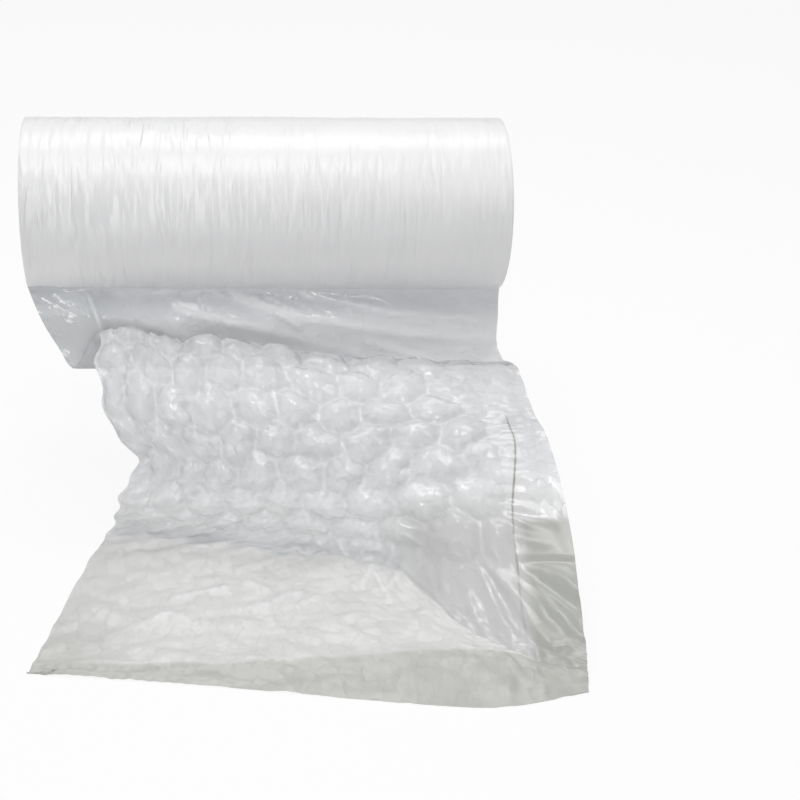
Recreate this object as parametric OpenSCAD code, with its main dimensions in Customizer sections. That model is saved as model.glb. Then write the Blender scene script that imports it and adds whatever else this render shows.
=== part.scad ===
// A roll of air pillow film on its cardboard core, held level by the core.
// One run of the film comes off the front of the roll, is blown up into cells,
// falls to the table and spreads forward over it.
// The origin is the middle of the core's bore: X runs along the roll, Z is up,
// and the film comes forward along -Y.

/* [Roll] */
// Outside diameter of the wound film
roll_d = 148; // [144:1:152]
// Width of the film, edge to edge, before it is blown up
film_w = 400; // [300:10:500]
// Bore of the cardboard core
core_bore_d = 76; // [50:1:90]
// Wall of the cardboard core
core_wall = 3; // [2:0.5:5]
// How far the core stands out of each end of the wound film
core_proud = 1.5; // [0.5:0.5:4]

/* [Web] */
// Height of the roll's axis above the table
axis_h = 240; // [230:1:260]
// How far forward of the roll's axis the film spreads
reach = 380; // [360:5:400]
// Cells in one row across the web
cells_across = 10; // [8:1:11]
// Rows of cells between the ridge and the heel
cell_rows = 7; // [5:1:8]
// Thickness of the web over a full cell
cell_h = 15; // [6:1:16]
// Thickness of the web where its plies lie together
ply_t = 1.8; // [1.4:0.2:2.4]
// Height of the creases in the part that lies on the table
crease_h = 4; // [1:0.5:6]

/* [Hidden] */

roll_r = roll_d / 2;
core_bore_r = core_bore_d / 2;
core_r = core_bore_r + core_wall;
core_l = film_w + 2 * core_proud;
// How far a bore's cut runs past each end
past_end = 1;
table_z = -axis_h;

// Where the film parts from the roll, below the front: at the left and at the right
part_left = 42;
part_right = 62;
// How deep the web's first row is set into the wound film
root_depth = 2.5;

// Steps of the grid in one cell, across and along
steps_across = 4;
steps_along = 3;
// Steps in each stretch of slack film and of film on the table
steps_slack = 3;
steps_table = 5;

function on_roll(x, angle, r) = [x, -r * cos(angle), -r * sin(angle)];
half = film_w / 2;
wide = film_w / 400;
tall = axis_h / 240;
deep = reach / 380;

// The lines across the film, from the roll to the cut end.
// Each holds five points, at these shares of the way from the left edge to the right.
shares = [0, 1 / 3, 2 / 3, 5 / 6, 1];
root = [
    for (s = shares)
        on_roll((s - 0.5) * film_w, part_left + (part_right - part_left) * s - 12, roll_r - root_depth)
];
leaves_roll = [
    for (s = shares)
        on_roll((s - 0.5) * film_w, part_left + (part_right - part_left) * s, roll_r + ply_t / 2)
];
curtain_high = [[-190, -60, -78], [-65, -61, -80], [68, -56, -84], [134, -48, -89], [200, -38, -94]];
curtain_low = [[-178, -60, -104], [-61, -61, -106], [70, -54, -110], [135, -50, -113], [200, -45, -115]];
loop = [[-166, -65, -121], [-56, -66, -123], [72, -63, -125], [139, -61, -126], [206, -58, -127]];
rise = [[-150, -75, -92], [-50, -78, -98], [73, -79, -108], [141, -78, -114], [209, -76, -119]];
ridge = [[-142, -84, -75], [-47, -90, -85], [74, -97, -99], [142, -98, -108], [211, -96, -116]];
bed = [[-145, -108, -94], [-46, -116, -105], [74, -126, -117], [143, -128, -121], [213, -126, -124]];
brow = [[-138, -133, -135], [-42, -144, -138], [76, -152, -136], [145, -154, -133], [215, -152, -130]];
neck = [[-114, -148, -165], [-34, -162, -166], [80, -176, -158], [149, -182, -148], [219, -180, -134]];
fall = [[-130, -152, -198], [-34, -171, -199], [82, -190, -192], [153, -208, -180], [226, -222, -162]];
heel = [[-138, -146, -230], [-37, -168, -229], [83, -202, -227], [152, -262, -214], [227, -288, -200]];
table_back = [[-150, -166, -239], [-39, -188, -239], [83, -224, -239], [151, -300, -236], [224, -338, -225]];
table_middle = [[-169, -244, -239], [-44, -255, -239], [84, -274, -239], [152, -313, -239], [222, -352, -231]];
front_crease = [[-185, -315, -239], [-47, -318, -239], [86, -321, -239], [154, -328, -239], [221, -362, -235]];
cut_end = [[-189, -322, -239], [-54, -346, -239], [86, -375, -239], [152, -384, -239], [219, -373, -238]];
lines = [
    root, leaves_roll, curtain_high, curtain_low, loop, rise, ridge,
    bed, brow, neck, fall, heel, table_back, table_middle, front_crease, cut_end
];
ridge_line = 6;
heel_line = 11;
end_line = len(lines) - 1;

// The same lines at the chosen film width, reach and axis height
free_lines = [
    for (k = [0:end_line])
        k < 2 ? lines[k] : [for (p = lines[k]) [p.x * wide, p.y * deep, p.z * tall]]
];

// A smooth curve through a list of points, each at its own place on the way
function slope(list, places, k) =
    let (
        a = max(k - 1, 0),
        b = min(k + 1, len(list) - 1)
    )
    (list[b] - list[a]) / (places[b] - places[a]);
function along(list, places, t) =
    let (
        k = max([for (i = [0:len(list) - 2]) if (i == 0 || places[i] <= t) i]),
        step = places[k + 1] - places[k],
        s = (t - places[k]) / step,
        up = s * s * (3 - 2 * s)
    )
    list[k] * (1 - up) + list[k + 1] * up
    + slope(list, places, k) * step * s * (1 - s) * (1 - s)
    - slope(list, places, k + 1) * step * s * s * (1 - s);
function ramp(x, low, high) =
    let (s = min(1, max(0, (x - low) / (high - low))))
    s * s * (3 - 2 * s);

// The grid's places along the film and across it
rows_blown = cell_rows * steps_along;
blown = heel_line - ridge_line;
v_grid = concat(
    [for (i = [0:ridge_line * steps_slack - 1]) i / steps_slack],
    [for (i = [0:rows_blown - 1]) ridge_line + i * blown / rows_blown],
    [for (i = [0:(end_line - heel_line) * steps_table]) heel_line + i / steps_table]
);
columns = cells_across * steps_across;
u_grid = [for (i = [0:columns]) i / columns];
line_places = [for (k = [0:end_line]) k];

// The middle surface of the film
middle = [
    for (v = v_grid)
        let (five = [for (c = [0:4]) along([for (line = free_lines) line[c]], line_places, v)])
        [for (u = u_grid) along(five, shares, u)]
];
last_row = len(v_grid) - 1;
function unit(a) = a / norm(a);
function facing(i, j) =
    unit(cross(
        middle[min(i + 1, last_row)][j] - middle[max(i - 1, 0)][j],
        middle[i][min(j + 1, columns)] - middle[i][max(j - 1, 0)]
    ));

// How full a cell is: a field of domes, each row moved half a cell from the last
function dome(across, row) =
    let (sum = cos(360 * row) + cos(360 * (across - row / 2)) + cos(360 * (across + row / 2)))
    sqrt(max(0, (sum + 1.5) / 4.5));
// Creases on the table, as three crossing waves, mostly longer across than along
function crease(p) =
    (3 + sin(1.9 * p.x + 8.6 * p.y) + sin(5.3 * p.x - 6.1 * p.y) + sin(2.9 * p.y + 40) * sin(5 * p.x)) / 6;
function puff(i, j) =
    let (
        v = v_grid[i],
        u = u_grid[j],
        row = (v - ridge_line) / blown * cell_rows,
        blown_here = ramp(v, ridge_line - 0.8, ridge_line + 0.4) * (1 - ramp(v, heel_line - 1.6, heel_line + 0.3)),
        in_from_edges = ramp(u, 0, 0.05) * (1 - ramp(u, 0.86, 0.93)),
        on_table = ramp(v, heel_line, heel_line + 0.8) * (1 - ramp(v, end_line - 0.3, end_line))
    )
    in_from_edges * (blown_here * (cell_h - ply_t) * dome(u * cells_across, row)
        + on_table * crease_h * crease(middle[i][j]));
// Cells swell to both sides, and creases on the table only rise
function below(i) = 0.5 * (1 - ramp(v_grid[i], heel_line - 1.5, heel_line + 0.2));

upper = [
    for (i = [0:last_row])
        for (j = [0:columns])
            middle[i][j] + facing(i, j) * (ply_t / 2 + (1 - below(i)) * puff(i, j))
];
lower = [
    for (i = [0:last_row])
        for (j = [0:columns])
            let (p = middle[i][j] - facing(i, j) * (ply_t / 2 + below(i) * puff(i, j)))
            [p.x, p.y, max(p.z, table_z)]
];

across_count = columns + 1;
half_count = (last_row + 1) * across_count;
function corner(i, j) = i * across_count + j;
// The grid's border, walked once around
border = concat(
    [for (j = [0:columns - 1]) corner(0, j)],
    [for (i = [0:last_row - 1]) corner(i, columns)],
    [for (j = [columns:-1:1]) corner(last_row, j)],
    [for (i = [last_row:-1:1]) corner(i, 0)]
);
cells_faces = [
    for (i = [0:last_row - 1])
        for (j = [0:columns - 1])
            let (
                a = corner(i, j),
                b = corner(i, j + 1),
                c = corner(i + 1, j + 1),
                d = corner(i + 1, j)
            )
            each [
                [a, b, c],
                [a, c, d],
                [a + half_count, c + half_count, b + half_count],
                [a + half_count, d + half_count, c + half_count]
            ]
];
rim_faces = [
    for (k = [0:len(border) - 1])
        let (
            a = border[k],
            b = border[(k + 1) % len(border)]
        )
        each [[a, a + half_count, b], [b, a + half_count, b + half_count]]
];

module along_x(length) {
    rotate([0, 90, 0])
        translate([0, 0, -length / 2])
            children();
}

module core_tube() {
    color("burlywood")
        along_x(core_l)
            difference() {
                cylinder(r = core_r, h = core_l, $fn = 96);
                translate([0, 0, -past_end])
                    cylinder(r = core_bore_r, h = core_l + 2 * past_end, $fn = 96);
            }
}

// The turns of film left on the core
module wound_turns() {
    along_x(film_w)
        difference() {
            cylinder(r = roll_r, h = film_w, $fn = 96);
            translate([0, 0, -past_end])
                cylinder(r = core_r, h = film_w + 2 * past_end, $fn = 96);
        }
}

// The run of film that has come off the roll
module web() {
    polyhedron(points = concat(upper, lower), faces = concat(cells_faces, rim_faces), convexity = 8);
}

module film() {
    color("whitesmoke")
        union() {
            wound_turns();
            web();
        }
}

core_tube();
film();
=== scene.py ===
"""A roll of air pillow film on its cardboard core, with a run of blown-up film coming off it."""

import math

import bmesh
import bpy
import numpy as np
from mathutils import Matrix, Vector


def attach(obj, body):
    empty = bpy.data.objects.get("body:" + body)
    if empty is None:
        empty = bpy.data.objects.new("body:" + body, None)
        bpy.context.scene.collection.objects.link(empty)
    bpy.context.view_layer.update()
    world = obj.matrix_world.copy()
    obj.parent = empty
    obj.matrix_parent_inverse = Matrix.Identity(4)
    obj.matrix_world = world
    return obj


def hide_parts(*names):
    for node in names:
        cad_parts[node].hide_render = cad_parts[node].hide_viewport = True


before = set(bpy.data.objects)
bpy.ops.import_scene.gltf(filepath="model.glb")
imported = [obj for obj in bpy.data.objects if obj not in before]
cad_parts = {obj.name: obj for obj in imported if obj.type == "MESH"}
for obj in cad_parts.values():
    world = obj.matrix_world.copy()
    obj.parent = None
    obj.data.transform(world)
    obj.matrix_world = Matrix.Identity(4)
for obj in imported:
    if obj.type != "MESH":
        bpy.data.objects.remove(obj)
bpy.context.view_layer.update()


# The core is a tube of brown paper board, 76 mm in the bore with a 3 mm wall. It is made of board
# strip wound on the slant and glued, and cut off square. The first turn of film is stuck to it.
core_length = 0.403
core_bore_radius = 0.038
core_radius = 0.041
core_sides = 96
core_rings = 24
core_rounding = 0.0005
core_soft_angle = 40
board_ply = 0.0005
strip_pitch = 0.11
board_brown = (0.46, 0.32, 0.19)
board_dark = (0.33, 0.22, 0.125)

# Two places nearer than this count as one when rings are joined, and a hair is the play that a
# place is given when it is looked for
same_place = 0.00001
hair = 0.0001


def ring_on_roll(name, radius, place, sides):
    """A ring of edges round the roll's axis, in edit mode, and where it has got to."""
    bpy.ops.object.select_all(action="DESELECT")
    bpy.ops.mesh.primitive_circle_add(
        vertices=sides, radius=radius, fill_type="NOTHING", location=(place, 0, 0),
        rotation=(0, math.pi / 2, 0),
    )
    piece = bpy.context.object
    piece.name = name
    bpy.ops.object.transform_apply(location=True, rotation=True, scale=True)
    bpy.ops.object.mode_set(mode="EDIT")
    bpy.ops.mesh.select_all(action="SELECT")
    return piece, {"place": place, "radius": radius}


def draw_out(ring, radius, place):
    """Extrudes the ring of edges that is selected to another place along the roll and radius."""
    bpy.ops.mesh.extrude_region_move(
        TRANSFORM_OT_translate={"value": (place - ring["place"], 0, 0)}
    )
    wider = radius / ring["radius"]
    bpy.ops.transform.resize(value=(1, wider, wider), center_override=(place, 0, 0))
    ring["place"] = place
    ring["radius"] = radius


def edges_where(piece, wanted):
    """Selects in edit mode the edges that a test of their two ends picks out."""
    bpy.ops.mesh.select_all(action="DESELECT")
    shape = bmesh.from_edit_mesh(piece.data)
    for edge in shape.edges:
        edge.select_set(wanted(edge.verts[0].co, edge.verts[1].co))
    bmesh.update_edit_mesh(piece.data)


def off_axis(point):
    """How far a point is from the roll's axis."""
    return math.hypot(point.y, point.z)


def close_tube(ring, radius, place):
    """Draws the last ring back to the first, joins them, and turns every face outwards."""
    draw_out(ring, radius, place)
    bpy.ops.mesh.select_all(action="SELECT")
    bpy.ops.mesh.remove_doubles(threshold=same_place)
    bpy.ops.mesh.normals_make_consistent(inside=False)


core, core_ring = ring_on_roll("cardboard_core", core_bore_radius, -core_length / 2, core_sides)
draw_out(core_ring, core_radius, -core_length / 2)
draw_out(core_ring, core_radius, core_length / 2)
draw_out(core_ring, core_bore_radius, core_length / 2)
close_tube(core_ring, core_bore_radius, -core_length / 2)
edges_where(core, lambda a, b: abs(a.x - b.x) < hair)
bpy.ops.mesh.bevel(offset=core_rounding, segments=2, affect="EDGES")
edges_where(core, lambda a, b: abs(a.x - b.x) > core_length / 2)
bpy.ops.mesh.subdivide(number_cuts=core_rings)
bpy.ops.object.mode_set(mode="OBJECT")
bpy.ops.object.shade_smooth_by_angle(angle=math.radians(core_soft_angle))


class Amount:
    """A number that varies over a surface. Sums with it add Math nodes to its finish."""

    def __init__(self, finish, socket):
        self.finish = finish
        self.socket = socket

    def work(self, operation, *values):
        made = self.finish.node("ShaderNodeMath", {"operation": operation}, *values)
        return Amount(self.finish, made.outputs[0])

    def __add__(self, other):
        return self.work("ADD", self, other)

    def __radd__(self, other):
        return self.work("ADD", other, self)

    def __sub__(self, other):
        return self.work("SUBTRACT", self, other)

    def __rsub__(self, other):
        return self.work("SUBTRACT", other, self)

    def __mul__(self, other):
        return self.work("MULTIPLY", self, other)

    def __rmul__(self, other):
        return self.work("MULTIPLY", other, self)

    def __truediv__(self, other):
        return self.work("DIVIDE", self, other)

    def size(self):
        return self.work("ABSOLUTE", self)

    def sine(self):
        return self.work("SINE", self)

    def root(self):
        return self.work("SQRT", self)

    def part(self):
        return self.work("FRACT", self)

    def between(self, low, high):
        """0 below low, 1 above high, and a smooth rise from one to the other."""
        step = self.finish.node(
            "ShaderNodeMapRange", {"interpolation_type": "SMOOTHSTEP", "clamp": True}, self, low,
            high,
        )
        return Amount(self.finish, step.outputs[0])

    def within(self, low, full, still_full, high):
        """1 in one stretch, 0 outside it, and smooth at both its ends."""
        return self.between(low, full) * (1 - self.between(still_full, high))


class Finish:
    """One material: its shader, and the nodes that vary it over a surface."""

    def __init__(self, name, colour, roughness, **settings):
        self.material = bpy.data.materials.new(name)
        self.material.use_nodes = True
        self.tree = self.material.node_tree
        self.shader = self.tree.nodes["Principled BSDF"]
        self.shader.inputs["Base Color"].default_value = (*colour, 1)
        self.shader.inputs["Roughness"].default_value = roughness
        for name_of_input, value in settings.items():
            self.shader.inputs[name_of_input.replace("_", " ")].default_value = value

    def node(self, kind, settings, *values, **named):
        """Adds a node: its settings first, then its inputs by order or by name."""
        made = self.tree.nodes.new(kind)
        for setting, value in settings.items():
            setattr(made, setting, value)
        for place, value in enumerate(values):
            self.join(made.inputs[place], value)
        for name, value in named.items():
            self.join(made.inputs[name.replace("_", " ")], value)
        return made

    def join(self, socket, value):
        if isinstance(value, Amount):
            self.tree.links.new(value.socket, socket)
        elif isinstance(value, bpy.types.NodeSocket):
            self.tree.links.new(value, socket)
        elif isinstance(value, tuple) and socket.type == "RGBA":
            socket.default_value = (*value, 1)
        else:
            socket.default_value = value

    def places(self, scale=(1, 1, 1)):
        """The piece's own coordinates in metres, times a scale."""
        here = self.node("ShaderNodeTexCoord", {}).outputs["Object"]
        return self.node("ShaderNodeMapping", {}, Vector=here, Scale=scale).outputs[0]

    def along_film(self, scale=(1, 1, 1)):
        """The film's own coordinates in metres, across it and along it, times a scale."""
        here = self.node("ShaderNodeUVMap", {"uv_map": "film"}).outputs[0]
        return self.node("ShaderNodeMapping", {}, Vector=here, Scale=scale).outputs[0]

    def axes(self, vector):
        split = self.node("ShaderNodeSeparateXYZ", {}, vector)
        return [Amount(self, socket) for socket in split.outputs]

    def painted(self, name):
        """A number that the mesh carries at each of its points."""
        made = self.node("ShaderNodeAttribute", {"attribute_name": name})
        return Amount(self, made.outputs["Fac"])

    def grain(self, vector, detail=2.0, roughness=0.5, distortion=0.0):
        made = self.node(
            "ShaderNodeTexNoise", {}, Vector=vector, Scale=1.0, Detail=detail,
            Roughness=roughness, Distortion=distortion,
        )
        return Amount(self, made.outputs["Fac"])

    def mixed(self, amount, first, second):
        """A colour between two others."""
        made = self.node("ShaderNodeMix", {"data_type": "RGBA"})
        self.join(made.inputs["Factor"], amount)
        self.join(made.inputs[6], first)
        self.join(made.inputs[7], second)
        return made.outputs[2]

    def use(self, name, value):
        self.join(self.shader.inputs[name], value)

    def bent(self, vector, length, amount):
        """The same coordinates, moved about by a soft noise of that length."""
        drift = self.node("ShaderNodeTexNoise", {}, Vector=vector, Scale=1 / length, Detail=1.0)
        return self.node(
            "ShaderNodeVectorMath", {"operation": "MULTIPLY_ADD"}, drift.outputs["Color"],
            (amount, amount, 0), vector,
        ).outputs[0]

    def facets(self, vector, length):
        """Flat facets of that length, each tilted its own way, as a height for the surface."""
        made = self.node("ShaderNodeTexVoronoi", {}, Vector=vector, Scale=1 / length)
        across, along, _ = self.axes(vector)
        middle_across, middle_along, _ = self.axes(made.outputs["Position"])
        tilt_across, tilt_along, _ = self.axes(made.outputs["Color"])
        height = (across - middle_across) * (tilt_across - 0.5)
        return height + (along - middle_along) * (tilt_along - 0.5)

    def facet_edges(self, vector, length):
        """How far a place is from the border of its facet, in facet lengths."""
        made = self.node(
            "ShaderNodeTexVoronoi",
            {"feature": "DISTANCE_TO_EDGE"},
            Vector=vector,
            Scale=1 / length,
        )
        return Amount(self, made.outputs["Distance"])

    def facet_numbers(self, vector, length):
        """A random number from 0 to 1 that is the same all over each facet."""
        made = self.node("ShaderNodeTexVoronoi", {}, Vector=vector, Scale=1 / length)
        return self.axes(made.outputs["Color"])[0]

    def raise_surface(self, height, strength, distance):
        bump = self.node("ShaderNodeBump", {}, Strength=strength, Distance=distance, Height=height)
        self.use("Normal", bump.outputs[0])


board = Finish("wound_board", board_brown, 0.85, Specular_IOR_Level=0.25)
across, up, over = board.axes(board.places())
out_from_axis = (up * up + over * over).root()
turned = up.work("ARCTAN2", up, over)
slant = (across / strip_pitch + turned / math.tau).part()
strip_edge = (slant - 0.5).size().between(0.492, 0.499)
paper = board.grain(board.places((260, 260, 260)), detail=4)
speckle = board.grain(board.places((1900, 1900, 1900)), detail=1)
plies_seen = (out_from_axis * (math.tau / board_ply)).sine() * 0.5 + 0.5
on_cut_end = across.size().between(core_length / 2 - 0.0006, core_length / 2 - 0.0002)
darker = paper * 0.5 + speckle * 0.35 + strip_edge * 0.5 + plies_seen * on_cut_end * 0.35
board.use("Base Color", board.mixed(darker - 0.1, board_brown, board_dark))
board.use("Roughness", 0.78 + paper * 0.15)
board.raise_surface(
    paper * 0.4 + speckle * 0.2 - strip_edge + plies_seen * on_cut_end * 0.6, 0.6, 0.0002
)
core.data.materials.append(board.material)

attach(core, "root")
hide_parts("core_tube")


# The turns left on the core are two plies of thin polyethylene, wound tight into a roll 148 mm
# across. The winding has pulled fine ridges round it, and the turns' edges don't quite line up.
film_width = 0.400
roll_radius = 0.074
first_turn = core_radius + 0.0002
rim_drop = 0.0003
rim_width = 0.0006
roll_soft_angle = 50
roll_sides = 176
turns_on_end = 26
turn_stagger = 0.0007
roll_stretches = 4
cuts_in_stretch = 72
ridge_width = 0.0032
ridge_run = 0.030
ridge_height = 0.0011
wave_width = 0.055
wave_height = 0.0016
texture_start = (0.013, 0.007, 0.003)
wound_white = (0.82, 0.82, 0.825)
wound_shade = (0.66, 0.665, 0.675)
wound_highlight = (0.93, 0.93, 0.93)

turn_shuffle = np.random.default_rng(11)


def turn_edges(ring, radii, end_place, outward):
    """Draws the face of wound edges, each a little in or out of the last."""
    for radius in radii:
        draw_out(ring, radius, end_place + outward * turn_shuffle.uniform(-1, 0.2) * turn_stagger)


roll, roll_ring = ring_on_roll("wound_film", first_turn, -film_width / 2, roll_sides)
turn_radii = np.linspace(core_radius + 0.0014, roll_radius - 0.0012, turns_on_end)
turn_edges(roll_ring, turn_radii, -film_width / 2, -1)
draw_out(roll_ring, roll_radius - rim_drop, -film_width / 2)
near_end = -film_width / 2 + rim_width
draw_out(roll_ring, roll_radius, near_end)
for stretch in range(roll_stretches):
    place = near_end + (film_width - 2 * rim_width) * (stretch + 1) / roll_stretches
    draw_out(roll_ring, roll_radius, place)
draw_out(roll_ring, roll_radius - rim_drop, film_width / 2)
turn_edges(roll_ring, turn_radii[::-1], film_width / 2, 1)
draw_out(roll_ring, first_turn, film_width / 2)
close_tube(roll_ring, first_turn, -film_width / 2)
half_stretch = film_width / roll_stretches / 2
edges_where(roll, lambda a, b: abs(a.x - b.x) > half_stretch and off_axis(a) > roll_radius - hair)
bpy.ops.mesh.subdivide(number_cuts=cuts_in_stretch)
bpy.ops.object.mode_set(mode="OBJECT")

outer_turn = roll.vertex_groups.new(name="outer_turn")
ridged = roll.vertex_groups.new(name="ridged")
for vertex in roll.data.vertices:
    if off_axis(vertex.co) < roll_radius - hair:
        continue
    end_fade = min(1.0, (film_width / 2 - abs(vertex.co.x)) / 0.01)
    outer_turn.add([vertex.index], end_fade, "REPLACE")
    # The ridges are densest towards the left end
    left = 0.45 + 0.55 * min(1.0, max(0.0, (0.02 - vertex.co.x) / 0.14))
    ridged.add([vertex.index], left * min(1.0, 0.3 + end_fade), "REPLACE")


def pick(piece):
    """Makes the piece the only one that is selected."""
    bpy.ops.object.select_all(action="DESELECT")
    piece.select_set(True)
    bpy.context.view_layer.objects.active = piece


def press_in(piece, name, sizes, height, group):
    """Raises the surface by a cloudy texture that is sized along the roll and round it."""
    texture = bpy.data.textures.new(name, "CLOUDS")
    texture.noise_scale = 1.0
    texture.noise_depth = 1
    bpy.ops.object.empty_add(location=texture_start)
    sizer = bpy.context.object
    sizer.scale = sizes
    bpy.context.view_layer.update()
    pick(piece)
    raised = piece.modifiers.new(name, "DISPLACE")
    raised.texture = texture
    raised.texture_coords = "OBJECT"
    raised.texture_coords_object = sizer
    raised.strength = height
    raised.mid_level = 0.5
    raised.vertex_group = group
    bpy.ops.object.modifier_apply(modifier=name)
    bpy.data.objects.remove(sizer)


press_in(roll, "pulled_ridges", (ridge_width, ridge_run, ridge_run), ridge_height, "ridged")
wave_sizes = (wave_width, wave_width * 0.7, wave_width * 0.7)
press_in(roll, "slack_waves", wave_sizes, wave_height, "outer_turn")
roll.vertex_groups.clear()
pick(roll)
bpy.ops.object.shade_smooth_by_angle(angle=math.radians(roll_soft_angle))

wound = Finish("wound_plies", wound_white, 0.34, Specular_IOR_Level=0.3)
across, up, over = wound.axes(wound.places())
out_from_axis = (up * up + over * over).root()
on_end = 1 - out_from_axis.between(roll_radius - 0.0028, roll_radius - 0.0018)
turn_lines = wound.grain(wound.node(
    "ShaderNodeCombineXYZ", {}, out_from_axis * 2600, across * 20, 0.0
).outputs[0], detail=3)
fine_ridges = wound.grain(wound.places((620, 34, 34)), detail=3, roughness=0.6)
bands = wound.grain(wound.places((24, 16, 16)), detail=2)
to_left = 1 - across.between(-0.12, 0.16) * 0.6
# The ridges are a little darker between them all round. At the front of the roll, in a band a
# little above its middle height, they get painted highlights, with painted shade between them
at_front = over.within(-0.002, 0.026, 0.036, 0.052) * (1 - up.between(-0.045, -0.020))
pulled = wound.grain(wound.places((130, 24, 24)), detail=1, distortion=0.4)
pulled = pulled.between(0.36, 0.64) * to_left * (0.35 + bands.between(0.4, 0.6) * 0.65)
highlit_streaks = wound.grain(wound.places((330, 34, 34)), detail=1, distortion=0.5)
highlit_streaks = highlit_streaks.between(0.43, 0.67) * to_left * at_front
shade = bands.between(0.3, 0.75) * 0.15 + fine_ridges * 0.06 + on_end * turn_lines * 0.9
shade = shade + (1 - pulled) * to_left * (0.10 + at_front * 0.30)
# Painted shade in a band round the roll at about its middle height
shade = shade + (1 - over.between(0.010, 0.036)) * over.between(-0.030, 0.0) * 0.42
wound_colour = wound.mixed(shade, wound_white, wound_shade)
wound.use("Base Color", wound.mixed(highlit_streaks * 0.6, wound_colour, wound_highlight))
wound.use("Roughness", 0.24 + fine_ridges * 0.12 + on_end * 0.3)
raised = fine_ridges * 0.05 + highlit_streaks * 0.35 + pulled * 1.0
wound.raise_surface(raised * (1 - on_end) + on_end * turn_lines * 0.9, 1.0, 0.0008)
roll.data.materials.append(wound.material)

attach(roll, "root")
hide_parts("film")


# The run of film is the next length of the same two plies. It hangs slack under the roll, is blown
# up into rows of pillows and sealed along its right side, falls to the table and lies there
# crumpled. Nothing fixes it: the turns that it comes from hold it.
floor_height = -0.240
part_left = 42
part_right = 62
root_turned_back = 10
root_depth = 0.0012
part_lift = 0.0006
millimetre = 0.001

# Each line crosses the film, and holds the places of five points on it in millimetres. They lie at
# these shares of the way from its left edge to its right one.
line_shares = np.array([0, 1 / 3, 2 / 3, 5 / 6, 1])
curtain_high = [(-190, -60, -78), (-65, -61, -80), (68, -56, -84), (134, -48, -89), (200, -38, -94)]
curtain_low = [
    (-178, -60, -104), (-61, -61, -106), (70, -54, -110), (135, -50, -113), (200, -45, -115)
]
loop = [(-166, -65, -121), (-56, -66, -123), (72, -63, -125), (139, -61, -126), (206, -58, -127)]
rise = [(-150, -75, -92), (-50, -78, -98), (73, -79, -108), (141, -78, -114), (209, -76, -119)]
ridge = [(-142, -84, -75), (-47, -90, -85), (74, -97, -99), (142, -98, -108), (211, -96, -116)]
bed = [(-145, -108, -94), (-46, -116, -105), (74, -126, -117), (143, -128, -121), (213, -126, -124)]
brow = [
    (-138, -133, -135), (-42, -144, -138), (76, -152, -136), (145, -154, -133), (215, -152, -130)
]
neck = [
    (-114, -148, -165), (-34, -162, -166), (80, -176, -158), (149, -182, -148), (219, -180, -134)
]
fall = [
    (-130, -152, -198), (-34, -171, -199), (82, -190, -192), (153, -208, -180), (226, -222, -162)
]
heel = [
    (-138, -146, -230), (-37, -168, -229), (83, -202, -227), (152, -262, -214), (227, -288, -200)
]
table_back = [
    (-150, -166, -239), (-39, -188, -239), (83, -224, -239), (151, -300, -236), (224, -338, -225)
]
table_middle = [
    (-169, -244, -239), (-44, -255, -239), (84, -274, -239), (152, -313, -239), (222, -352, -231)
]
front_crease = [
    (-185, -315, -239), (-47, -318, -239), (86, -321, -239), (154, -328, -239), (221, -362, -235)
]
cut_end = [
    (-189, -322, -239), (-54, -346, -239), (86, -375, -239), (152, -384, -239), (219, -373, -238)
]


def line_on_roll(turned_back, height):
    """A line across the film where it lies on the roll, that far back from where it parts."""
    line = []
    for share in line_shares:
        angle = math.radians(part_left + (part_right - part_left) * share - turned_back)
        radius = (roll_radius + height) / millimetre
        across_roll = (share - 0.5) * film_width / millimetre
        line.append((across_roll, -radius * math.cos(angle), -radius * math.sin(angle)))
    return line


film_lines = np.array(
    [
        line_on_roll(root_turned_back, -root_depth), line_on_roll(0, part_lift), curtain_high,
        curtain_low, loop, rise, ridge, bed, brow, neck, fall, heel, table_back, table_middle,
        front_crease, cut_end,
    ]
) * millimetre
RIDGE_LINE = 6
HEEL_LINE = 11
CREASE_LINE = 14
last_line = len(film_lines) - 1


def smooth_through(points, knots, places):
    """The smooth curve through a list of points that lie at the knots, at the given places."""
    last = len(points) - 1
    spread = (-1, *[1] * (points.ndim - 1))
    here = np.clip(np.searchsorted(knots, places, side="right") - 1, 0, last - 1)
    behind = np.maximum(np.arange(last + 1) - 1, 0)
    ahead = np.minimum(np.arange(last + 1) + 1, last)
    slopes = (points[ahead] - points[behind]) / (knots[ahead] - knots[behind]).reshape(spread)
    step = (knots[here + 1] - knots[here]).reshape(spread)
    share = (places - knots[here]).reshape(spread) / step
    up = share * share * (3 - 2 * share)
    return (
        points[here] * (1 - up)
        + points[here + 1] * up
        + slopes[here] * step * share * (1 - share) ** 2
        - slopes[here + 1] * step * share**2 * (1 - share)
    )


def film_surface(across_share, line_places):
    """The middle surface of the run, as a grid of points."""
    rows = smooth_through(film_lines, np.arange(last_line + 1), line_places)
    columns = smooth_through(rows.transpose(1, 0, 2), line_shares, across_share)
    return columns.transpose(1, 0, 2)


def unit(vectors):
    """The same vectors, each one long."""
    return vectors / np.linalg.norm(vectors, axis=2, keepdims=True)


def rising(value, low, high):
    """0 below low, 1 above high, and smooth between them."""
    share = np.clip((value - low) / (high - low), 0, 1)
    return share * share * (3 - 2 * share)


# Distance along the film, as a mean over its width
close_places = np.linspace(0, last_line, 700)
close_rows = film_surface(np.linspace(0, 1, 5), close_places)
steps_run = np.linalg.norm(np.diff(close_rows, axis=0), axis=2).mean(axis=1)
run_of_places = np.concatenate([[0], np.cumsum(steps_run)])
run_length = float(run_of_places[-1])


def run_at(line):
    return float(np.interp(line, close_places, run_of_places))


at_ridge, at_heel, at_crease = (run_at(line) for line in (RIDGE_LINE, HEEL_LINE, CREASE_LINE))

film_shuffle = np.random.default_rng(23)


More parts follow.
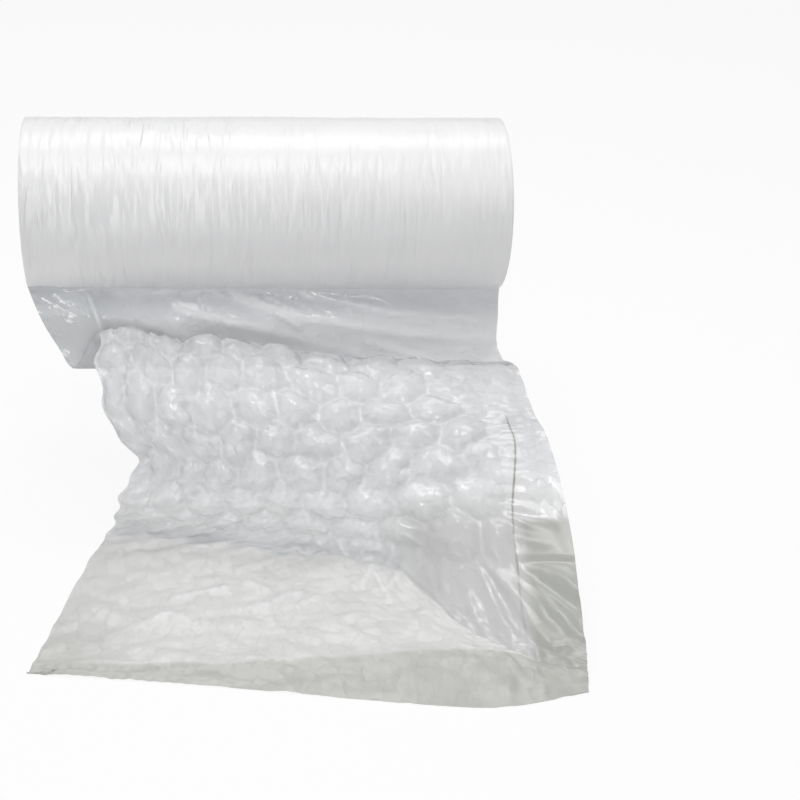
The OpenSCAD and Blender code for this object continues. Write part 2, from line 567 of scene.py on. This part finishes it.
def crumple(across, along, wavelength, waves=28):
    """A random smooth surface, about -1 to 1, with hollows and humps of one size."""
    height = np.zeros_like(across)
    for _ in range(waves):
        turn = film_shuffle.uniform(0, math.tau)
        number = math.tau / (wavelength * film_shuffle.uniform(0.7, 1.5))
        start = film_shuffle.uniform(0, math.tau)
        height += np.sin(number * (across * math.cos(turn) + along * math.sin(turn)) + start)
    return height * math.sqrt(2 / waves) * 0.6


facet_tile = 97


def facets(across, along, length, height):
    """A random surface of flat triangles with sharp edges, as crumpled film has."""
    across = across + crumple(across, along, length * 2.5, 10) * length * 0.4
    along = along + crumple(across, along, length * 2.5, 10) * length * 0.4
    row = along / (length * math.sqrt(3) / 2)
    column = across / length - row / 2
    low = np.floor(row).astype(int)
    left = np.floor(column).astype(int)
    up = row - low
    aside = column - left
    heights = film_shuffle.uniform(-height, height, (facet_tile, facet_tile))
    here, beside, above, beyond = (
        heights[(left + step_aside) % facet_tile, (low + step_up) % facet_tile]
        for step_aside, step_up in ((0, 0), (1, 0), (0, 1), (1, 1))
    )
    return np.where(
        up + aside < 1,
        here + (beside - here) * aside + (above - here) * up,
        beyond + (above - beyond) * (1 - aside) + (beside - beyond) * (1 - up),
    )


cells_across = 10
cell_pitch = film_width / cells_across
# The air draws the film together along its length, so the rows lie closer than pillows in a row
cell_row = 0.0285
seal_line = 0.13
numbers_in_row = 64
numbers_kept = numbers_in_row * 96


def cell_pattern(across, along):
    """Each point's two nearest cell middles, in pitches, and the nearest cell's own number."""
    drift = np.sin(along * 51 + 1.3) * 0.003 + np.sin(across * 37 + along * 88) * 0.003
    column = (across + drift) / cell_pitch
    drift = np.sin(across * 43 + 0.4) * 0.003 + np.sin(across * 96 - along * 61) * 0.002
    row = (along + drift - at_ridge) / cell_row
    nearest = np.full(column.shape, 9.0)
    second = np.full(column.shape, 9.0)
    number = np.zeros(column.shape, int)
    middle_row = np.round(row)
    for row_step in (-1, 0, 1):
        this_row = middle_row + row_step
        shift = 0.5 * np.mod(this_row, 2)
        middle_column = np.round(column - shift)
        for column_step in (-1, 0, 1):
            this_column = middle_column + column_step
            away = np.hypot(column - shift - this_column, (row - this_row) * math.sqrt(3) / 2)
            closer = away < nearest
            second = np.where(closer, nearest, np.minimum(second, away))
            nearest = np.where(closer, away, nearest)
            this_number = ((this_row + 40) * numbers_in_row + this_column + 8).astype(int)
            number = np.where(closer, this_number, number)
    return nearest, second, number


rows_slack = 0.0045
rows_blown = 0.0025
row_runs = [0.0]
while row_runs[-1] < run_length:
    slack_here = row_runs[-1] < at_ridge - 0.022
    row_runs.append(row_runs[-1] + (rows_slack if slack_here else rows_blown))
row_runs = np.array(row_runs[:-1]) * run_length / row_runs[-2]
columns_count = 156
share_across = np.linspace(0, 1, columns_count + 1)
row_places = np.interp(row_runs, run_of_places, close_places)
middle = film_surface(share_across, row_places)
way_across = np.gradient(middle, axis=1)
way_along = np.gradient(middle, axis=0)
facing = unit(np.cross(way_along, way_across))
along_grid, share_grid = np.meshgrid(row_runs, share_across, indexing="ij")
across_grid = share_grid * film_width


def fold(across, along, places, half_width, height):
    """A sharp fold along a line of places on the film, given in millimetres across and along it."""
    nearest_line = np.full(across.shape, 9.0)
    for start, end in zip(places[:-1], places[1:]):
        from_across, from_along = (value * millimetre for value in start)
        step_across, step_along = ((there - here) * millimetre for here, there in zip(start, end))
        share = (across - from_across) * step_across + (along - from_along) * step_along
        share = np.clip(share / (step_across**2 + step_along**2), 0, 1)
        away = np.hypot(
            across - from_across - share * step_across,
            along - from_along - share * step_along,
        )
        nearest_line = np.minimum(nearest_line, away)
    rise_here = np.clip(1 - nearest_line / (half_width * millimetre), 0, 1)
    return rise_here**1.15 * height * millimetre


def film_line(across, places):
    """How far along the film a line of places lies, at each place across it, in metres."""
    places_across, places_along = np.array(places).T * millimetre
    return np.interp(across, places_across, places_along)


# Where the falling film meets the part on the floor, and where it is creased near its cut end
heel_places = [
    (0, 329), (59, 334), (102, 337), (178, 342), (231, 341), (266, 341), (293, 349),
    (308, 361), (318, 374), (334, 386), (346, 413), (357, 432), (400, 440)
]
crease_places = [(0, 456), (118, 460), (229, 458), (332, 449), (352, 440), (400, 440)]

# The folds that pull from the sealed side down to the floor, and the crease near the cut end. Each
# has its places, half its width and its height, in millimetres.
crease_row = at_crease / millimetre
folded = np.zeros_like(across_grid)
for places, half_width, height in (
    ([(321, 250), (344, 285), (356, 310), (366, 345)], 12, 3.0),
    ([(321, 250), (329, 277), (325, 297), (311, 334)], 11, 2.6),
    ([(289, 252), (284, 312)], 8, 2.0), ([(298, 274), (310, 298)], 6, 1.6),
    ([(349, 318), (345, 362)], 9, 2.0), ([(391, 300), (393, 345)], 7, 1.0),
    ([(0, crease_row), (400, crease_row)], 11, 2.4),
):
    folded += fold(across_grid, along_grid, places, half_width, height)

# The main creases of the film on the floor, as three crossing waves
crease_height = 0.004
wave_x, wave_y = (np.radians(middle[..., axis] / millimetre) for axis in (0, 1))
waves = np.sin(1.9 * wave_x + 8.6 * wave_y) + np.sin(5.3 * wave_x - 6.1 * wave_y)
waves += np.sin(2.9 * wave_y + math.radians(40)) * np.sin(5 * wave_x)
line_grid = row_places[:, None]
on_floor = rising(line_grid, HEEL_LINE, HEEL_LINE + 0.8)
on_floor = on_floor * (1 - rising(line_grid, last_line - 0.3, last_line))
on_floor = on_floor * rising(share_grid, 0, 0.05) * (1 - rising(share_grid, 0.86, 0.93))
middle += facing * (folded + on_floor * crease_height * (3 + waves) / 6)[..., None]

# The ridge is uneven, and the open left edge is drawn in between the rows of pillows
near_ridge = np.clip(1 - np.abs(along_grid - at_ridge) / 0.045, 0, 1)
uneven = crumple(across_grid, along_grid, 0.075, 16) * near_ridge * 0.0035
middle += facing * uneven[..., None]
drawn_in = np.sin(along_grid * math.tau / cell_row) + crumple(across_grid, along_grid, 0.03, 12)
drawn_in *= rising(along_grid, at_ridge - 0.04, at_ridge)
drawn_in *= 1 - 0.6 * rising(along_grid, at_heel - 0.02, at_heel + 0.02)
drawn_in *= 1 - rising(along_grid, at_crease - 0.05, at_crease - 0.02)
drawn_in *= (1 - rising(share_grid, 0, 0.09)) * 0.0022
middle += unit(way_across) * drawn_in[..., None]

nearest_cell, second_cell, cell_number = cell_pattern(across_grid, along_grid)
blown_up = rising(along_grid, at_ridge - 0.030, at_ridge + 0.004)
blown_up *= 1 - 0.6 * rising(along_grid, at_heel - 0.075, at_heel - 0.050)
blown_up *= 1 - rising(along_grid, at_heel - 0.040, at_heel - 0.005)
sealed = (
    (second_cell - nearest_cell < seal_line)
    | (along_grid < at_ridge - 0.030)
    | (along_grid > at_heel - 0.008)
    | (share_grid < 0.012)
    | (share_grid > 0.90)
)
cell_fill = film_shuffle.uniform(0.35, 1.0, numbers_kept)[np.mod(cell_number, numbers_kept)]

seed_height = 0.0006
pucker_pitch = 0.0085
pucker_height = 0.0009
ply_slack = np.where(sealed, 0, 0.0008)
upper_seed = crumple(across_grid, along_grid, 0.012) * seed_height
lower_seed = crumple(across_grid, along_grid, 0.012) * seed_height
table_part = rising(along_grid, at_heel - 0.01, at_heel + 0.02)
blown_part = rising(along_grid, at_ridge - 0.05, at_ridge)
whole_seed = crumple(across_grid, along_grid, 0.026) * 0.0005 * blown_part
# The sealed side is puckered along its seal
seal_place = film_width * (0.94 - 0.035 * rising(along_grid, 0.225, 0.30))
from_seal = np.abs(across_grid - seal_place) / np.where(across_grid < seal_place, 0.024, 0.012)
puckered = np.clip(1 - from_seal, 0, 1) * rising(along_grid, 0.19, 0.22)
puckered *= 1 - 0.85 * rising(along_grid, 0.27, 0.33)
pucker_line = along_grid * math.tau / pucker_pitch
pucker_line += crumple(across_grid, along_grid, 0.03, 8) * 2
whole_seed += puckered * np.sin(pucker_line) * pucker_height
upper = middle + facing * (ply_slack + whole_seed + upper_seed * ~sealed)[..., None]
lower = middle + facing * (-ply_slack + whole_seed + lower_seed * ~sealed)[..., None]


def blow_up():
    """Lets cloth with air between its plies settle, and gives the two plies' grids of points."""
    scale_up = 10.0
    group_steps = 20
    frames = 24
    count = sealed.size
    upper_numbers = np.arange(count).reshape(sealed.shape)
    lower_numbers = upper_numbers.copy()
    open_film = ~sealed
    lower_numbers[open_film] = count + np.arange(open_film.sum())
    points = np.concatenate([upper.reshape(-1, 3), lower[open_film]]) * scale_up
    faces = []
    for numbers, order in ((upper_numbers, (0, 1, 2, 3)), (lower_numbers, (0, 3, 2, 1))):
        corners = [numbers[:-1, :-1], numbers[1:, :-1], numbers[1:, 1:], numbers[:-1, 1:]]
        faces.append(np.stack([corners[k] for k in order], -1).reshape(-1, 4))
    same = (np.sort(faces[0], 1) == np.sort(faces[1], 1)).all(1)
    all_faces = np.concatenate([faces[0], faces[1][~same]])
    cloth_mesh = bpy.data.meshes.new("loose_plies")
    cloth_mesh.from_pydata(points.tolist(), [], all_faces.tolist())
    cloth = bpy.data.objects.new("loose_plies", cloth_mesh)
    bpy.context.scene.collection.objects.link(cloth)

    hold = np.where(sealed, 0.2, 0.0)
    hold[along_grid < at_ridge - 0.035] = 0.9
    hold[:, -4:] = 0.8
    hold[share_grid < 0.01] = 0.5
    hold[(along_grid > at_heel - 0.01) & (share_grid > 0.01)] = 0.12
    hold[-1] = 0.5
    hold[0] = 1.0
    air = blown_up * (1 - 0.7 * rising(share_grid, 0.78, 0.9)) * cell_fill
    slack = (1 - table_part) * rising(along_grid, at_ridge - 0.06, at_ridge)
    for name, amount in (("hold", hold), ("air", air), ("slack", slack)):
        group = cloth.vertex_groups.new(name=name)
        level = np.concatenate([amount.reshape(-1), amount[open_film]])
        level = np.round(level * group_steps).astype(int)
        for step in range(1, group_steps + 1):
            members = np.nonzero(level == step)[0].tolist()
            if members:
                group.add(members, step / group_steps, "REPLACE")

    settling = cloth.modifiers.new("settling", "CLOTH")
    film = settling.settings
    film.quality = 5
    film.mass = 0.1
    film.air_damping = 4
    film.tension_stiffness = 40
    film.compression_stiffness = 10
    film.shear_stiffness = 5
    film.bending_stiffness = 0.05
    film.tension_damping = film.compression_damping = film.shear_damping = 8
    film.use_pressure = True
    film.uniform_pressure_force = 100
    film.vertex_group_pressure = "air"
    film.vertex_group_mass = "hold"
    film.pin_stiffness = 3
    film.vertex_group_shrink = "slack"
    film.shrink_min = 0
    film.shrink_max = -0.17
    film.effector_weights.gravity = 0
    settling.collision_settings.use_collision = False
    settling.point_cache.frame_end = 30
    for step in range(1, frames + 1):
        bpy.context.scene.frame_set(step)
    settled = cloth.evaluated_get(bpy.context.evaluated_depsgraph_get())
    found = np.empty(len(points) * 3, np.float32)
    settled.data.vertices.foreach_get("co", found)
    found = found.reshape(-1, 3).astype(float) / scale_up
    bpy.data.objects.remove(cloth)
    bpy.context.scene.frame_set(1)
    upper_found = found[:count].reshape(upper.shape)
    lower_found = upper_found.copy()
    lower_found[open_film] = found[count:]
    return upper_found, lower_found


upper_settled, lower_settled = blow_up()

most_moved = 0.012
for settled, start in ((upper_settled, upper), (lower_settled, lower)):
    moved = settled - start
    distance = np.linalg.norm(moved, axis=2, keepdims=True)
    settled[:] = start + moved * np.minimum(1, most_moved / np.maximum(distance, 1e-9))

# The cloth settles flatter than full pillows are, so its plies are drawn further apart
fuller = 1.6
half_settled = (upper_settled + lower_settled) / 2
upper_settled = half_settled + (upper_settled - half_settled) * fuller
lower_settled = half_settled + (lower_settled - half_settled) * fuller

fine_rows = 246
fine_columns = 194
ply_thickness = 0.0005
clear_of_floor = 0.0002
pleat_pitch = 0.009
film_soft_angle = 75

# The facets that crumpled film falls into: their length and height on the pillows, on the slack
# film, on the floor and in the right corner
pillow_facets = (0.014, 0.0011)
small_pillow_facets = (0.008, 0.0004)
slack_facets = (0.030, 0.0016)
floor_facets = (0.018, 0.0020)
small_floor_facets = (0.009, 0.0008)
corner_facets = (0.010, 0.0015)


def finer(grid):
    """The same surface with the final number of rows and columns."""
    down = np.linspace(0, grid.shape[0] - 1, fine_rows + 1)
    over = np.linspace(0, grid.shape[1] - 1, fine_columns + 1)
    rows = smooth_through(grid, np.arange(grid.shape[0]), down)
    return smooth_through(rows.swapaxes(0, 1), np.arange(grid.shape[1]), over).swapaxes(0, 1)


upper_fine = finer(upper_settled)
lower_fine = finer(lower_settled)
run_fine = finer(along_grid[..., None])[..., 0]
share_fine = finer(share_grid[..., None])[..., 0]
across_fine = share_fine * film_width
crisp_here = 0.25 + 0.75 * rising(run_fine, at_ridge - 0.085, at_ridge - 0.02)
half_way = (upper_fine + lower_fine) / 2
fine_facing = unit(np.cross(np.gradient(half_way, axis=0), np.gradient(half_way, axis=1)))
# Thin film takes sharp small creases, which the settled cloth is too coarse to have
on_table = rising(run_fine, at_heel - 0.01, at_heel + 0.02)
strip_fine = rising(share_fine, 0.90, 0.94) * rising(run_fine, 0.280, 0.300)
tight_fine = across_fine - 0.270 - (run_fine - 0.297) * 1.2
tight_fine = rising(tight_fine, -0.003, 0.010) * rising(run_fine, 0.25, 0.29)
crumpled_here = (1 - 0.75 * strip_fine) * (1 - 0.5 * tight_fine)
past_heel = run_fine - film_line(across_fine, heel_places)
past_heel += crumple(across_fine, run_fine, 0.028, 16) * 0.0035
past_crease_line = run_fine - film_line(across_fine, crease_places)
crumpled_here *= crisp_here
crisp = facets(across_fine, run_fine, *pillow_facets) * (1 - on_table) * crumpled_here
crisp += facets(across_fine, run_fine, *small_pillow_facets) * crumpled_here
leaning = (across_fine - run_fine, run_fine + across_fine * 0.3)
crisp += facets(*leaning, *slack_facets) * (1 - crisp_here)
# The film is tucked in along the heel, and pleated in front of the crease at its left end
tucked = np.clip(1 - np.abs(past_heel + 0.004) / 0.007, 0, 1) * 0.0030
less_tucked = 0.6 * rising(across_fine, 0.265, 0.31) + 0.4 * rising(across_fine, 0.32, 0.35)
crisp -= tucked * (1 - less_tucked)
crisp += np.clip(1 - np.abs(past_crease_line) / 0.004, 0, 1) * 0.0012
pleats = np.sin(across_fine * math.tau / pleat_pitch)
pleats *= 1 - rising(across_fine, 0.07, 0.13)
crisp += pleats * rising(past_crease_line, 0.001, 0.004) * 0.0007
# Single sharp folds in the slack film, the falling film and the film on the floor
folds_here = np.zeros_like(across_fine)
for places, half_width, height in (
    ([(60, 9), (150, 7), (262, 5)], 4, 0.9),
    ([(48, 20), (50, 45), (47, 72)], 4, 1.8),
    ([(170, 20), (223, 38), (310, 54), (392, 62)], 8, 2.4),
    ([(120, 30), (196, 52), (270, 74)], 9, 2.2),
    ([(186, 22), (205, 34), (222, 46)], 5, 2.6),
    ([(196, 20), (212, 29), (236, 42)], 4, 1.8),
    ([(204, 19), (224, 27), (246, 38)], 3, 1.3),
    ([(141, 22), (143, 40)], 3, 1.5),
    ([(152, 14), (168, 25)], 3, 1.4),
    ([(264, 20), (269, 40)], 3, 1.5),
    ([(230, 18), (300, 34), (380, 40)], 6, 1.8),
    ([(90, 44), (130, 60), (190, 80), (250, 100)], 7, 1.2),
    ([(60, 62), (100, 84), (160, 104)], 7, 1.2),
    ([(280, 62), (330, 80), (390, 92)], 7, 2.2),
    ([(300, 84), (350, 96), (395, 108)], 6, 1.8),
    ([(24, 292), (35, 277)], 4, 1.6),
    ([(161, 291), (167, 314)], 4, 1.8),
    ([(203, 288), (215, 328)], 5, 2.0),
    ([(226, 306), (237, 338)], 5, 2.0),
    ([(284, 293), (284, 311)], 3, 1.4),
    ([(86, 345), (112, 347)], 5, 1.8),
    ([(62, 379), (82, 375)], 5, 1.4),
    ([(88, 399), (130, 388)], 5, 1.8),
    ([(146, 379), (168, 388)], 5, 1.4),
    ([(247, 374), (260, 346)], 5, 2.2),
    ([(258, 350), (266, 375)], 5, 2.0),
    ([(268, 372), (281, 350)], 4, 1.8),
    ([(146, 409), (195, 393)], 7, 1.5),
    ([(47, 433), (90, 415)], 7, 1.5),
    ([(66, 447), (119, 435)], 7, 1.3),
):
    folds_here = np.maximum(folds_here, fold(across_fine, run_fine, places, half_width, height))
crisp += folds_here
# Rows that lie closer together than on the flat film take lower creases. The crumples on the
# floor follow the floor, and are sharpest in the right corner
row_step = np.linalg.norm(np.gradient(half_way, axis=0), axis=2)
loose = np.clip(row_step / (run_length / fine_rows), 0.15, 1)
crisp *= loose
floor_x, floor_y = half_way[..., 0], half_way[..., 1]
crisp += facets(floor_x * 0.55 + floor_y * 0.3, floor_y, *floor_facets) * on_table
crisp += facets(floor_x * 0.6 + floor_y * 0.3, floor_y, *small_floor_facets) * on_table
right_corner = rising(floor_x, 0.12, 0.16) * rising(-floor_y, 0.318, 0.335)
crisp += facets(floor_x, floor_y, *corner_facets) * right_corner * on_table
upper_fine += fine_facing * (crisp + ply_thickness / 2)[..., None]
lower_fine += fine_facing * (crisp - ply_thickness / 2)[..., None]
lowest = floor_height + clear_of_floor
lower_fine[..., 2] = np.maximum(lower_fine[..., 2], lowest)
upper_fine[..., 2] = np.maximum(upper_fine[..., 2], lowest + ply_thickness)

per_ply = upper_fine.shape[0] * upper_fine.shape[1]
numbers = np.arange(per_ply).reshape(upper_fine.shape[:2])
upper_quads = np.stack(
    [numbers[:-1, :-1], numbers[1:, :-1], numbers[1:, 1:], numbers[:-1, 1:]], -1
).reshape(-1, 4)
lower_quads = upper_quads[:, ::-1] + per_ply
border = np.concatenate([numbers[0, :-1], numbers[:-1, -1], numbers[-1, :0:-1], numbers[:0:-1, 0]])
border_next = np.roll(border, -1)
rim_quads = np.stack([border, border_next, border_next + per_ply, border + per_ply], -1)
run_mesh = bpy.data.meshes.new("film_run")
run_mesh.from_pydata(
    np.concatenate([upper_fine.reshape(-1, 3), lower_fine.reshape(-1, 3)]).tolist(),
    [],
    np.concatenate([upper_quads, lower_quads, rim_quads]).tolist(),
)
run_piece = bpy.data.objects.new("film_run", run_mesh)
bpy.context.scene.collection.objects.link(run_piece)
fine_nearest, fine_second, _ = cell_pattern(across_fine, run_fine)
welded = 1 - rising(fine_second - fine_nearest, 0.02, 0.075)
welded *= rising(run_fine, at_ridge - 0.03, at_ridge - 0.02)
welded *= 1 - rising(run_fine, at_heel - 0.03, at_heel)
welded *= 1 - rising(share_fine, 0.88, 0.91)
# The crests of the sharp folds are painted near-white by this, as painted highlights
creased = np.clip(folds_here / 0.0016, 0, 1) ** 3
on_floor_here = rising(past_heel, -0.003, 0.002)
# The band just above the heel is painted darker by this, as painted shade in the heel's fold
above_heel = np.clip(1 - np.abs(past_heel + 0.007) / 0.014, 0, 1)
above_heel *= (1 - rising(across_fine, 0.23, 0.29)) * rising(across_fine, 0.0, 0.03)
# The end in front of the crease is painted darker by this, as painted shade where it turns down
# over the table's edge
in_front = rising(past_crease_line, -0.001, 0.002)
for paint, level in (
    ("weld", welded), ("creased", creased), ("loose", loose), ("on_floor", on_floor_here),
    ("above_heel", above_heel), ("in_front", in_front),
):
    painted = run_mesh.attributes.new(paint, "FLOAT", "POINT")
    painted.data.foreach_set("value", np.tile(level.reshape(-1), 2).astype(np.float32))
film_uv = run_mesh.uv_layers.new(name="film")
corner_points = np.empty(len(run_mesh.loops), int)
run_mesh.loops.foreach_get("vertex_index", corner_points)
flat_places = np.stack([share_fine * film_width, run_fine], -1).reshape(-1, 2)
film_uv.data.foreach_set("uv", np.tile(flat_places, (2, 1))[corner_points].reshape(-1))

pick(run_piece)
bpy.ops.object.mode_set(mode="EDIT")
bpy.ops.mesh.select_all(action="SELECT")
bpy.ops.mesh.normals_make_consistent(inside=False)
bpy.ops.object.mode_set(mode="OBJECT")
bpy.ops.object.shade_smooth_by_angle(angle=math.radians(film_soft_angle))

film_white = (0.77, 0.78, 0.80)
film_floor = (0.80, 0.80, 0.79)
film_highlight = (0.93, 0.935, 0.945)
film_cool_shade = (0.68, 0.70, 0.73)
film_dark_shade = (0.55, 0.57, 0.59)
film_warm = (0.54, 0.54, 0.505)
film_tight = (0.63, 0.635, 0.63)
film_strip_shade = (0.42, 0.43, 0.40)
seal_grey = (0.34, 0.33, 0.29)
plies = Finish("milky_plies", film_white, 0.2, Specular_IOR_Level=0.6)
on_film = plies.along_film()
across, along, _ = plies.axes(on_film)
clouds = plies.grain(plies.along_film((25, 25, 25)), detail=2)
wrinkles = plies.grain(plies.along_film((130, 130, 130)), detail=3, distortion=0.6)
seal_at = film_width * 0.94 - along.between(0.225, 0.30) * (film_width * 0.035)
side_line = 1 - (across - seal_at).size().between(0.0003, 0.0011)
side_line = side_line * along.between(0.195, 0.215) * (1 - 0.8 * along.between(0.29, 0.36))
# The slack film under the roll is painted cooler and darker, as painted shade under the roll,
# and its hidden part behind the ridge is painted lighter, as painted light against its shadow
slack_film = along.within(0.006, 0.030, at_ridge - 0.035, at_ridge + 0.025)
behind_ridge = along.within(0.025, 0.060, at_ridge - 0.045, at_ridge - 0.02)
# The left loop of the slack film is painted darker still, as painted shade
left_loop = (1 - across.between(0.045, 0.085)) * (1 - along.between(0.085, 0.115))
# The top rows of pillows and the falling film are painted lighter, as painted light
top_rows = along.within(at_ridge - 0.02, at_ridge, at_ridge + 0.025, at_ridge + 0.075)
falling = along.within(0.240, 0.270, 0.315, 0.330)
# Where the film is pulled tight down to its right corner, it looks greyer
tight = across.between(0.262, 0.300) * along.between(0.262, 0.300)
lying = plies.painted("on_floor")
left_corner = (1 - across.between(0.0, 0.10)) * along.between(at_crease - 0.09, at_crease)
# Outside the side seal, the upper ply ends partway down, and one ply goes on. That strip is
# painted dark grey, as painted shade from the sealing machine
in_strip = across.between(film_width * 0.905, film_width * 0.93) * along.between(0.289, 0.295)
# Painted highlights: thin lines along the facets' edges and small glinting facets are painted
# near-white, and other small facets are painted darker, as painted shade
bent = plies.bent(on_film, 0.02, 0.008)
broken = plies.grain(plies.along_film((40, 40, 40)), detail=1)
fold_lines = 1 - plies.facet_edges(bent, 0.012).between(0.015, 0.06)
fold_lines = fold_lines * broken.between(0.50, 0.60)
small_facets = plies.facet_numbers(plies.bent(plies.along_film((1, 1.5, 1)), 0.012, 0.005), 0.008)
glints = small_facets.between(0.86, 0.92) * broken.between(0.46, 0.54)
dim_facets = 1 - small_facets.between(0.12, 0.26)
# The welds are painted lighter, partly their own whiter film and partly a painted highlight
weld = plies.painted("weld") * plies.grain(plies.along_film((22, 22, 22))).between(0.40, 0.62)
lively = (1 - in_strip * 0.9) * (1 - tight * (1 - lying) * 0.6)
pillows = along.within(at_ridge - 0.02, at_ridge + 0.01, 0.270, 0.310)
pillows = pillows * (1 - across.between(0.34, 0.37))
welds_and_highlights = (weld * 0.45 + (fold_lines * 0.35 + glints * 0.60) * pillows) * lively
body_colour = film_white
# The film's own tints, with painted shade, painted light and painted highlights mixed in
for amount, tint in (
    (slack_film * (1 - behind_ridge * 0.9), film_cool_shade),
    (behind_ridge * 0.8, film_highlight),
    (left_loop * 0.8, film_dark_shade),
    (top_rows * 0.6, film_highlight),
    (falling * 0.9, film_highlight),
    (tight, film_tight),
    (lying, film_floor),
    (plies.painted("above_heel") * 0.55, film_dark_shade),
    (left_corner * 0.6, film_warm),
    (in_strip, film_strip_shade),
    (plies.painted("in_front") * 0.85, film_warm),
    (dim_facets * pillows * lively * 0.20, film_cool_shade),
    (welds_and_highlights + plies.painted("creased") * 0.7, film_highlight),
    (side_line * 0.85, seal_grey),
):
    body_colour = plies.mixed(amount, body_colour, tint)
plies.use("Base Color", body_colour)
plies.use("Roughness", 0.10 + clouds * 0.12 + lying * 0.22 + in_strip * 0.08)
# The first of the film off the roll lies close on the turns, and little shows through it
alpha = 0.60 + clouds * 0.14 + side_line * 0.3 + weld * 0.05
plies.use("Alpha", alpha + (1 - along.between(0.004, 0.035)) * 0.3)
facet_height = plies.facets(bent, 0.012) + plies.facets(bent, 0.006) * 0.5
crinkled = 0.35 + 0.65 * along.between(at_ridge - 0.085, at_ridge - 0.02)
crinkled = crinkled * lively * plies.painted("loose") * (0.34 + pillows * 0.14)
plies.raise_surface(facet_height * crinkled + wrinkles * 0.00015, 1.0, 1.0)
run_mesh.materials.append(plies.material)

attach(run_piece, "root")
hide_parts("film")


# The film lies on a plain white floor, which isn't part of the object. To the camera it is the
# white of the background, with the soft shadow left on it.
floor_size = 12
floor_white = (0.88, 0.88, 0.88)
floor_glow = 0.9
bpy.ops.object.select_all(action="DESELECT")
bpy.ops.mesh.primitive_plane_add(size=floor_size, location=(0, 0, floor_height))
floor = bpy.context.object
floor.name = "floor"
bpy.ops.object.transform_apply(location=True, rotation=True, scale=True)
paper_floor = Finish("white_floor", floor_white, 0.9, Specular_IOR_Level=0.1)
rays = paper_floor.node("ShaderNodeLightPath", {})
seen = Amount(paper_floor, rays.outputs["Is Camera Ray"])
seen = seen + rays.outputs["Is Glossy Ray"] + rays.outputs["Is Transmission Ray"]
glow = paper_floor.node("ShaderNodeEmission", {}, (1.0, 1.0, 1.0), 1.0)
blend = paper_floor.node("ShaderNodeMixShader", {}, seen * floor_glow)
paper_floor.join(blend.inputs[1], paper_floor.shader.outputs[0])
paper_floor.join(blend.inputs[2], glow.outputs[0])
surface_out = paper_floor.tree.nodes["Material Output"]
paper_floor.join(surface_out.inputs["Surface"], blend.outputs[0])
floor.data.materials.append(paper_floor.material)


# Soft light comes from a white room, wide lamps overhead and behind the roll, and a weaker one in
# front. Four small lamps put the small bright glints on the film's folds. To the camera the room
# is as white as the floor.
room_light = 0.40
room_seen = 0.92
sparkle_size = 0.10
sparkle_watts = 0.75
world = bpy.data.worlds.new("white_room")
bpy.context.scene.world = world
world.use_nodes = True
room = world.node_tree.nodes["Background"]
world_rays = world.node_tree.nodes.new("ShaderNodeLightPath")
level = world.node_tree.nodes.new("ShaderNodeMapRange")
level.inputs["To Min"].default_value = room_light
level.inputs["To Max"].default_value = room_seen
world.node_tree.links.new(world_rays.outputs["Is Camera Ray"], level.inputs["Value"])
world.node_tree.links.new(level.outputs[0], room.inputs["Strength"])
room.inputs["Color"].default_value = (1, 1, 1, 1)


def soft_lamp(name, place, aimed_at, width, height, watts):
    lamp = bpy.data.lights.new(name, "AREA")
    lamp.shape = "RECTANGLE"
    lamp.size = width
    lamp.size_y = height
    lamp.energy = watts
    holder = bpy.data.objects.new(name, lamp)
    bpy.context.scene.collection.objects.link(holder)
    holder.location = place
    facing_way = Vector(aimed_at) - Vector(place)
    holder.rotation_euler = facing_way.to_track_quat("-Z", "Y").to_euler()


soft_lamp("overhead", (-0.1, -0.42, 1.25), (0, -0.1, -0.1), 0.7, 0.5, 5.2)
soft_lamp("behind", (0.1, 0.45, 1.3), (0, -0.05, -0.05), 1.0, 0.5, 7.4)
soft_lamp("front", (-0.4, -1.6, 0.2), (0, -0.15, -0.2), 1.2, 0.5, 3.0)
for name, place in (
    ("left_sparkle", (-0.42, -0.95, 0.72)),
    ("right_sparkle", (0.45, -0.95, 0.95)),
    ("top_sparkle", (-0.1, -0.50, 1.25)),
    ("low_sparkle", (-0.3, -1.3, -0.10)),
):
    soft_lamp(name, place, (0, -0.12, -0.12), sparkle_size, sparkle_size, sparkle_watts)


# The camera stands a little left of the roll's middle and looks down at it.
camera_place = (-0.0472, -1.2033, 0.4533)
camera_yaw = 0.13967
camera_pitch = 0.48869
camera_roll = 0.04460
focal_pixels = 1480
picture_pixels = 800
sensor_width = 36
camera_data = bpy.data.cameras.new("camera")
camera_data.sensor_width = sensor_width
camera_data.lens = sensor_width * focal_pixels / picture_pixels
camera = bpy.data.objects.new("camera", camera_data)
bpy.context.scene.collection.objects.link(camera)
ahead = Vector(
    (
        math.sin(camera_yaw) * math.cos(camera_pitch),
        math.cos(camera_yaw) * math.cos(camera_pitch),
        -math.sin(camera_pitch),
    )
)
level_right = Vector((math.cos(camera_yaw), -math.sin(camera_yaw), 0))
level_up = level_right.cross(ahead)
right = level_right * math.cos(camera_roll) + level_up * math.sin(camera_roll)
upward = level_up * math.cos(camera_roll) - level_right * math.sin(camera_roll)
stand = Matrix((right, upward, -ahead)).transposed().to_4x4()
stand.translation = Vector(camera_place)
camera.matrix_world = stand
bpy.context.scene.camera = camera
bpy.context.scene.view_settings.view_transform = "Standard"
